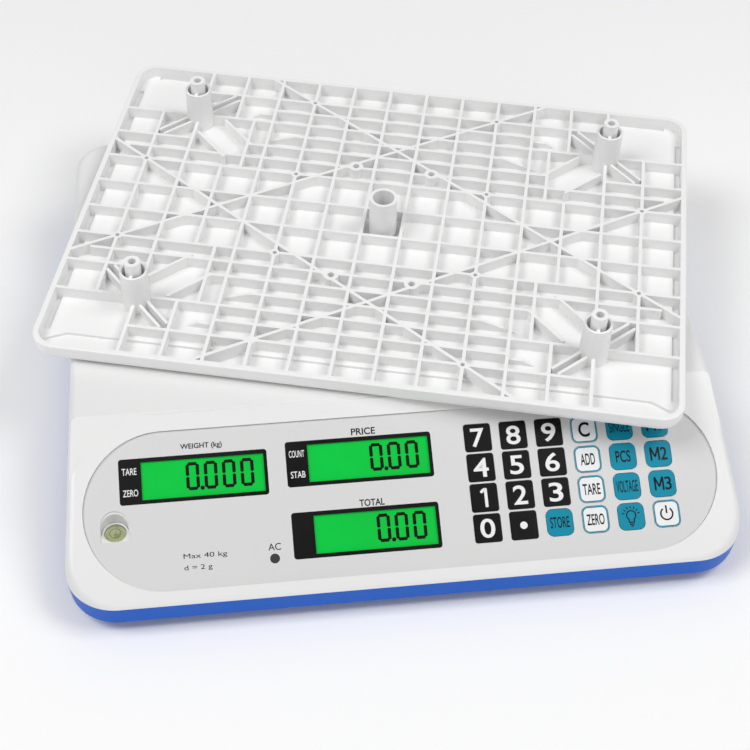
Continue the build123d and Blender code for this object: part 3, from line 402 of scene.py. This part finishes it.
# the sloping panel, measured from the overlay's own box
slope = radians(26.3)
filmThickness = 0.8 * mm
low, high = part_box("panel_overlay")
panelMiddle = Vector(((low.x + high.x) / 2, (low.y + high.y - filmThickness * sin(slope)) / 2,
                      (low.z + high.z + filmThickness * cos(slope)) / 2))
panelTurn = Matrix.Rotation(slope, 4, "X")
recessMiddle = 47.8  # mm down the slope from the crease


# mm to the right of the middle, down the slope from the crease, and above the film
def ontoPanel(piece, x, drop, lift=inkLift):
    place = Matrix.Translation(panelMiddle) @ panelTurn @ Matrix.Translation(
        Vector((x, recessMiddle - drop, lift)) * mm)
    piece.data.transform(place)
    piece.data.update()


low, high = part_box("rear_overlay")
rearLean = radians(8.3)
rearMiddle = Vector(((low.x + high.x) / 2, (low.y + high.y + filmThickness * cos(rearLean)) / 2,
                     (low.z + high.z + filmThickness * sin(rearLean)) / 2))
rearTurn = Matrix(((-1, 0, 0),
                   (0, -sin(rearLean), cos(rearLean)),
                   (0, cos(rearLean), sin(rearLean)))).to_4x4()


def ontoRear(piece, x, rise, lift=inkLift):
    place = Matrix.Translation(rearMiddle) @ rearTurn @ Matrix.Translation(
        Vector((x, rise, lift)) * mm)
    piece.data.transform(place)
    piece.data.update()


def finishPiece(piece, finish, body):
    piece.data.materials.clear()
    piece.data.materials.append(finishes[finish])
    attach(piece, body)
    return piece


typeface = {"size": 10.0, "depth": 0.15, "flatten": 0.0001}


def lettering(words, width, height, weight=0.0):  # one legend, centred, to a width and height in mm
    bpy.ops.object.text_add(location=(0, 0, 0))
    piece = bpy.context.view_layer.objects.active
    piece.data.body = words
    piece.data.size = typeface["size"]
    piece.data.offset = weight
    piece.data.extrude = typeface["depth"]
    piece.data.resolution_u = 5
    pick(piece)
    bpy.ops.object.convert(target="MESH")
    piece = bpy.context.view_layer.objects.active
    xs = [vertex.co.x for vertex in piece.data.vertices]
    ys = [vertex.co.y for vertex in piece.data.vertices]
    centre = Vector(((min(xs) + max(xs)) / 2, (min(ys) + max(ys)) / 2, 0))
    fit = Matrix.Diagonal((width / (max(xs) - min(xs)) * mm, height / (max(ys) - min(ys)) * mm,
                           typeface["flatten"], 1))
    piece.data.transform(fit @ Matrix.Translation(-centre))
    return piece


def thinDisc(radius, sides=32):
    bpy.ops.mesh.primitive_cylinder_add(vertices=sides, radius=radius * mm, depth=inkThick * mm)
    return bpy.context.view_layer.objects.active


def roundedPlate(width, height, radius, thick=inkThick):
    bpy.ops.mesh.primitive_cube_add(size=1)
    piece = bpy.context.view_layer.objects.active
    piece.scale = (width * mm, height * mm, thick * mm)
    settle(piece)
    bpy.ops.object.mode_set(mode="EDIT")
    bpy.ops.mesh.select_all(action="DESELECT")
    bpy.ops.mesh.select_mode(type="EDGE")
    bpy.ops.object.mode_set(mode="OBJECT")
    for edge in piece.data.edges:
        ends = [piece.data.vertices[index].co for index in edge.vertices]
        edge.select = abs(ends[0].z - ends[1].z) > thick * mm / 2
    bpy.ops.object.mode_set(mode="EDIT")
    bpy.ops.mesh.bevel(offset=radius * mm, segments=6, affect="EDGES")
    bpy.ops.object.mode_set(mode="OBJECT")
    return piece


def outline(width, height, radius, line):  # a printed frame: the plate with its middle cut out
    outer = roundedPlate(width, height, radius)
    inner = roundedPlate(width - 2 * line, height - 2 * line, radius - line, 0.2)
    cut = outer.modifiers.new("middle", "BOOLEAN")
    cut.operation = "DIFFERENCE"
    cut.solver = "EXACT"
    cut.object = inner
    pick(outer)
    bpy.ops.object.modifier_apply(modifier="middle")
    bpy.data.objects.remove(inner)
    return outer


# legends on the overlay and on the black borders
panelWords = {  # words: width, height, weight, place across, place down the slope
    "WEIGHT (kg)": (20.4, 3.5, 0.17, -98.3, 17.1),
    "PRICE": (12.0, 3.5, 0.18, -18.0, 15.8),
    "TOTAL": (12.4, 3.5, 0.18, -16.8, 51.8),
    "AC": (6.2, 3.4, 0.02, -66.0, 69.8),
    "Max 40 kg": (21.0, 3.1, 0.0, -99.5, 71.3),
    "d = 2 g": (13.5, 3.1, 0.0, -103.2, 76.9),
}
printed = []
for words, (width, height, weight, across, drop) in panelWords.items():
    piece = lettering(words, width, height, weight)
    ontoPanel(piece, across, drop)
    printed.append(piece)
finishPiece(joinAll(printed, "panelLegends"), "blackFilm", "base")

borderWords = [("TARE", 7.2, 3.4, -133.9, 27.3), ("ZERO", 7.4, 3.4, -133.7, 38.0),
               ("COUNT", 7.6, 3.5, -51.8, 24.8), ("STAB", 7.2, 3.4, -51.8, 35.2)]
printed = []
for words, width, height, across, drop in borderWords:
    piece = lettering(words, width, height, 0.08)
    ontoPanel(piece, across, drop)
    printed.append(piece)
finishPiece(joinAll(printed, "borderLegends"), "whiteFilm", "base")

arcSteps = 24
seamReach = 0.000001  # points nearer than this are one point

# legends on the keys
keyColumns = {"first": 38.8, "pitch": 18.0}
keyRows = {"first": 23.6, "pitch": 15.25}
keyGrid = [
    ["key_7", "key_8", "key_9", "key_clear", "key_single", "key_memory_1"],
    ["key_4", "key_5", "key_6", "key_add", "key_pieces", "key_memory_2"],
    ["key_1", "key_2", "key_3", "key_tare", "key_voltage", "key_memory_3"],
    ["key_0", "key_point", "key_store", "key_zero", "key_light", "key_power"],
]
keyWords = {  # words, width, height, weight
    "key_0": ("0", 7.4, 9.6, 0.14), "key_2": ("2", 7.0, 9.6, 0.14),
    "key_3": ("3", 7.0, 9.6, 0.14), "key_4": ("4", 7.6, 9.6, 0.14),
    "key_5": ("5", 7.0, 9.6, 0.14), "key_6": ("6", 7.2, 9.6, 0.14),
    "key_7": ("7", 6.9, 9.6, 0.14), "key_8": ("8", 7.2, 9.6, 0.14),
    "key_9": ("9", 7.2, 9.6, 0.14), "key_clear": ("C", 5.6, 7.7, 0.2),
    "key_single": ("SINGLE", 10.2, 5.6, 0.05), "key_add": ("ADD", 7.3, 5.9, 0.16),
    "key_pieces": ("PCS", 7.5, 6.0, 0.14), "key_tare": ("TARE", 8.8, 5.6, 0.14),
    "key_voltage": ("VOLTAGE", 10.8, 6.0, 0.1), "key_store": ("STORE", 9.6, 5.6, 0.1),
    "key_zero": ("ZERO", 8.9, 5.6, 0.14),
}
keyRing = {"width": 12.9, "height": 13.1, "radius": 3.15, "line": 0.7}


def bar(width, height, x, y, turn=0.0):  # a short printed stroke
    piece = roundedPlate(width, height, min(width, height) * 0.3)
    piece.data.transform(Matrix.Rotation(turn, 4, "Z"))
    piece.data.transform(Matrix.Translation((x * mm, y * mm, 0)))
    return piece


def arc(radius, line, start, end, x=0.0, y=0.0):  # part of a printed ring, spun from one small face
    bpy.ops.mesh.primitive_plane_add(size=1)
    piece = bpy.context.view_layer.objects.active
    piece.data.transform(Matrix.Diagonal((line * mm, inkThick * mm, 1, 1)))
    piece.data.transform(Matrix.Rotation(pi / 2, 4, "X"))
    piece.data.transform(Matrix.Translation((radius * mm, 0, 0)))
    piece.data.transform(Matrix.Rotation(start, 4, "Z"))
    bpy.ops.object.mode_set(mode="EDIT")
    bpy.ops.mesh.select_all(action="SELECT")
    bpy.ops.mesh.spin(steps=arcSteps, dupli=False, angle=end - start, center=(0, 0, 0),
                      axis=(0, 0, -1))
    bpy.ops.mesh.select_all(action="SELECT")
    bpy.ops.mesh.remove_doubles(threshold=seamReach)
    bpy.ops.mesh.normals_make_consistent(inside=False)
    bpy.ops.object.mode_set(mode="OBJECT")
    piece.data.transform(Matrix.Translation((x * mm, y * mm, 0)))
    return piece


powerLook = {"radius": 3.0, "line": 0.8, "bar": 4.0, "rise": 2.2, "gap": (125, 415)}
lightLook = {"radius": 2.3, "line": 0.6, "rise": 0.6, "gap": (-55, 235), "neck": 1.3,
             "collars": [(2.8, -2.9), (2.3, -3.9), (1.2, -4.8)],
             "rays": 7, "reach": 4.0, "rayLength": 1.4, "rayLine": 0.5}
oneLook = {"line": 1.5, "height": 9.6, "shift": 0.9, "flag": (3.0, 1.4, -0.45, 3.6), "lean": 38}
memoryLook = {"line": 0.95, "height": 6.7, "left": -3.7, "right": 0.3, "lean": 22,
              "slant": (0.9, 5.4), "dip": 1.0, "number": 2.9, "wide": 3.4, "narrow": 2.0,
              "weight": 0.12}


def powerSign():
    start, end = (radians(angle) for angle in powerLook["gap"])
    return [arc(powerLook["radius"], powerLook["line"], start, end),
            bar(powerLook["line"], powerLook["bar"], 0, powerLook["rise"])]


def lightSign():
    line = lightLook["line"]
    start, end = (radians(angle) for angle in lightLook["gap"])
    strokes = [arc(lightLook["radius"], line, start, end, 0, lightLook["rise"])]
    strokes += [bar(line, 1.6, side * lightLook["neck"], -1.9) for side in (-1, 1)]
    strokes += [bar(width, line, 0, y) for width, y in lightLook["collars"]]
    for step in range(lightLook["rays"]):
        angle = radians(15 + 25 * step)
        strokes.append(bar(lightLook["rayLength"], lightLook["rayLine"],
                           lightLook["reach"] * cos(angle),
                           lightLook["rise"] + lightLook["reach"] * sin(angle), angle))
    return strokes


def oneSign():  # an upright stroke with its flag
    return [bar(oneLook["line"], oneLook["height"], oneLook["shift"], 0),
            bar(*oneLook["flag"], radians(oneLook["lean"]))]


def memorySign(number):  # an M drawn with four strokes, and its number
    line, height = memoryLook["line"], memoryLook["height"]
    left, right, lean = memoryLook["left"], memoryLook["right"], radians(memoryLook["lean"])
    strokes = [bar(line, height, left, 0), bar(line, height, right, 0)]
    strokes += [bar(*memoryLook["slant"], left + 1, memoryLook["dip"], lean),
                bar(*memoryLook["slant"], right - 1, memoryLook["dip"], -lean)]
    if number == "1":
        figure = lettering(number, memoryLook["narrow"], height)
    else:
        figure = lettering(number, memoryLook["wide"], height, memoryLook["weight"])
    figure.data.transform(Matrix.Translation((memoryLook["number"] * mm, 0, 0)))
    return strokes + [figure]


def keyStrokes(node):
    if node == "key_point":
        return [thinDisc(1.85)]
    if node == "key_power":
        return powerSign()
    if node == "key_light":
        return lightSign()
    if node == "key_1":
        return oneSign()
    if node.startswith("key_memory"):
        return memorySign(node[-1])
    return [lettering(*keyWords[node])]


for rowIndex, rowKeys in enumerate(keyGrid):
    for columnIndex, node in enumerate(rowKeys):
        across = keyColumns["first"] + columnIndex * keyColumns["pitch"]
        drop = keyRows["first"] + rowIndex * keyRows["pitch"]
        strokes = keyStrokes(node)
        for stroke in strokes:
            settle(stroke)
        legend = joinAll(strokes, node + "_legend")
        ontoPanel(legend, across, drop)
        if columnIndex < 3 and node != "key_store":
            finishPiece(legend, "whiteFilm", node + "_body")
        else:
            finishPiece(legend, "blackFilm", node + "_body")
        if node in whiteKeys:
            ring = outline(keyRing["width"], keyRing["height"], keyRing["radius"], keyRing["line"])
            ring.name = node + "_outline"
            ontoPanel(ring, across, drop)
            finishPiece(ring, "tealFilm", node + "_body")
print("keypad printed")

# seven-segment digits behind the windows
digit = {"width": 6.9, "height": 14.3, "line": 1.95, "gap": 0.25, "pitch": 8.9}


def segment(length, line, x, y, upright):
    bpy.ops.mesh.primitive_cylinder_add(vertices=6, radius=line / 2 * mm, depth=inkThick * mm)
    piece = bpy.context.view_layer.objects.active
    piece.data.transform(Matrix.Rotation(radians(30), 4, "Z"))
    for vertex in piece.data.vertices:  # the two pointed ends are drawn apart
        vertex.co.x += (length - line) / 2 * mm * (1 if vertex.co.x > 0 else -1)
    if upright:
        piece.data.transform(Matrix.Rotation(pi / 2, 4, "Z"))
    piece.data.transform(Matrix.Translation((x * mm, y * mm, 0)))
    return piece


def zeroDigit(x, size):
    half = size["width"] / 2 - size["line"] / 2
    quarter = (size["height"] - size["line"]) / 4
    across = size["width"] - size["line"] - size["gap"]
    upright = 2 * quarter - size["gap"]
    strokes = [segment(across, size["line"], x, side * 2 * quarter, False) for side in (-1, 1)]
    strokes += [segment(upright, size["line"], x + side * half, rise * quarter, True)
                for side in (-1, 1) for rise in (-1, 1)]
    return strokes


def reading(places, size):  # zeros, right end at x = 0, with a point before the last places
    strokes = []
    for index in range(places + 1):
        strokes += zeroDigit(-size["width"] / 2 - index * size["pitch"], size)
    point = thinDisc(size["line"] * 0.55, 16)
    pointX = -places * size["pitch"] + (size["pitch"] - size["width"]) / 2
    pointY = -(size["height"] - size["line"]) / 2
    point.data.transform(Matrix.Translation((pointX * mm, pointY * mm, 0)))
    return strokes + [point]


glassLift = -1.07  # mm from the top of the film down to just above the glass
frontReadings = [(3, -73.1, 31.6), (2, 8.8, 29.1), (2, 9.2, 64.7)]
strokes = []
for places, across, drop in frontReadings:
    one = joinAll(reading(places, digit), "reading")
    ontoPanel(one, across, drop, glassLift)
    strokes.append(one)
finishPiece(joinAll(strokes, "frontDigits"), "blackFilm", "base")

rearDigit = {"width": 6.3, "height": 12.8, "line": 1.7, "gap": 0.24, "pitch": 8.2}
strokes = []
for places, across in ((3, -44.0), (2, 24.0), (2, 92.0)):
    one = joinAll(reading(places, rearDigit), "reading")
    ontoRear(one, across, 0.0, glassLift)
    strokes.append(one)
finishPiece(joinAll(strokes, "rearDigits"), "blackFilm", "base")
strokes = []
rearWords = [("WEIGHT kg", 17.0, -68.0), ("PRICE", 10.0, 0.0), ("TOTAL", 10.5, 68.0)]
for words, width, across in rearWords:
    piece = lettering(words, width, 2.6, 0.1)
    ontoRear(piece, across, 10.6)
    strokes.append(piece)
finishPiece(joinAll(strokes, "rearLegends"), "whiteFilm", "base")
print("readings made")

# spirit level: liquid, bubble and the circle it is centred in
vial = {"radius": 5.2, "depth": 3.4, "below": 0.8, "bubble": 1.6, "bubbleFlat": 0.16,
        "bubblePlace": (0.6, -0.4, -0.42), "circle": 2.7, "circleLine": 0.22, "circleLift": 1.03}
low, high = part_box("level_lens")
levelCentre = Vector(((low.x + high.x) / 2, (low.y + high.y) / 2, low.z))


def liquidFinish():
    material, tree, shader = startFinish(
        "levelLiquid", {"colour": (0.76, 0.80, 0.42), "roughness": 0.12, "ior": 1.38})
    skin = placeGroup(tree, mouldedSkin, {"Peel Scale": 300.0, "Patch Scale": 120.0})
    tone = mixColours(tree, skin.outputs["Patch"], (0.72, 0.78, 0.38), (0.82, 0.85, 0.52))
    link(tree, tone.outputs["Result"], shader.inputs["Base Color"])
    return material


def clearFinish(name, colour, roughness):
    material, tree, shader = startFinish(
        name, {"colour": colour, "roughness": roughness, "ior": 1.49})
    shader.inputs["Transmission Weight"].default_value = 1.0
    skin = placeGroup(tree, mouldedSkin, {"Peel Scale": 200.0, "Patch Scale": 40.0})
    uneven = remap(tree, skin.outputs["Patch"], roughness, roughness + 0.05)
    link(tree, uneven, shader.inputs["Roughness"])
    return material


finishes["liquid"] = liquidFinish()
finishes["clear"] = clearFinish("clearLens", (0.97, 0.98, 0.96), 0.03)
finishes["bubble"] = clearFinish("bubbleSkin", (0.96, 0.98, 0.80), 0.02)
nodes["level_lens"].data.materials.clear()
nodes["level_lens"].data.materials.append(finishes["clear"])

bpy.ops.mesh.primitive_cylinder_add(vertices=48, radius=vial["radius"] * mm,
                                    depth=vial["depth"] * mm)
liquid = bpy.context.view_layer.objects.active
liquid.name = "levelLiquid"
liquidDrop = Vector((0, 0, (vial["depth"] / 2 + vial["below"]) * mm))
liquid.data.transform(Matrix.Translation(levelCentre - liquidDrop))
finishPiece(liquid, "liquid", "base")
bpy.ops.mesh.primitive_uv_sphere_add(segments=32, ring_count=16, radius=vial["bubble"] * mm)
bubble = bpy.context.view_layer.objects.active
bubble.name = "levelBubble"
bubble.data.transform(Matrix.Diagonal((1, 1, vial["bubbleFlat"], 1)))
bubble.data.transform(Matrix.Translation(levelCentre + Vector(vial["bubblePlace"]) * mm))
bpy.ops.object.shade_smooth()
finishPiece(bubble, "bubble", "base")
circle = arc(vial["circle"], vial["circleLine"], 0.0, 2 * pi)
circle.name = "levelCircle"
circle.data.transform(Matrix.Translation(levelCentre + Vector((0, 0, vial["circleLift"] * mm))))
finishPiece(circle, "blackFilm", "base")
print("level filled")

# floor, light and camera
floorLook = {"size": 6.0, "colour": (0.98, 0.98, 0.98), "roughness": 0.9}
bpy.ops.mesh.primitive_plane_add(size=floorLook["size"], location=(0, 0, 0))
floor = bpy.context.view_layer.objects.active
floor.name = "floor"
floorMaterial = bpy.data.materials.new("paleFloor")
floorMaterial.use_nodes = True
floorShader = floorMaterial.node_tree.nodes["Principled BSDF"]
floorShader.inputs["Base Color"].default_value = (*floorLook["colour"], 1.0)
floorShader.inputs["Roughness"].default_value = floorLook["roughness"]
floor.data.materials.append(floorMaterial)

lamps = {  # place, aim, width, power in watts
    "upperLeftSoftbox": ((-0.95, -0.25, 1.6), (0, 0, 0), 0.8, 13.0),
    "upperRightSoftbox": ((0.95, -0.25, 1.6), (0, 0, 0), 0.8, 12.0),
    "frontSoftbox": ((0.1, -1.9, 0.9), (0, -0.05, 0.03), 1.4, 5.0),
}
for name, (place, aim, width, power) in lamps.items():
    bpy.ops.object.light_add(type="AREA", location=place)
    lamp = bpy.context.view_layer.objects.active
    lamp.name = name
    lamp.data.shape = "SQUARE"
    lamp.data.size = width
    lamp.data.energy = power
    lamp.rotation_euler = (Vector(aim) - Vector(place)).to_track_quat("-Z", "Y").to_euler()

skyStrength = 0.34
world = bpy.data.worlds.new("studio")
scene = bpy.context.scene
scene.world = world
world.use_nodes = True
world.node_tree.nodes["Background"].inputs["Color"].default_value = (1.0, 1.0, 1.0, 1.0)
world.node_tree.nodes["Background"].inputs["Strength"].default_value = skyStrength
scene.view_settings.view_transform = "Standard"

shot = {"place": (-0.08154, -0.57435, 0.62505), "elevation": 48.32, "azimuth": 7.56,
        "roll": 1.497, "lens": 71.43}
elevation, azimuth, roll = (radians(shot[key]) for key in ("elevation", "azimuth", "roll"))
forward = Vector((sin(azimuth) * cos(elevation), cos(azimuth) * cos(elevation), -sin(elevation)))
level = Vector((cos(azimuth), -sin(azimuth), 0))
down = forward.cross(level)
right = cos(roll) * level - sin(roll) * down
down = sin(roll) * level + cos(roll) * down
bpy.ops.object.camera_add()
camera = bpy.context.view_layer.objects.active
facing = Matrix((right, -down, -forward)).transposed().to_4x4()
camera.matrix_world = Matrix.Translation(shot["place"]) @ facing
camera.data.lens = shot["lens"]
camera.data.sensor_width = 36.0
camera.data.sensor_fit = "HORIZONTAL"
camera.data.clip_start = 0.01
scene.camera = camera
print("floor, light and camera set")
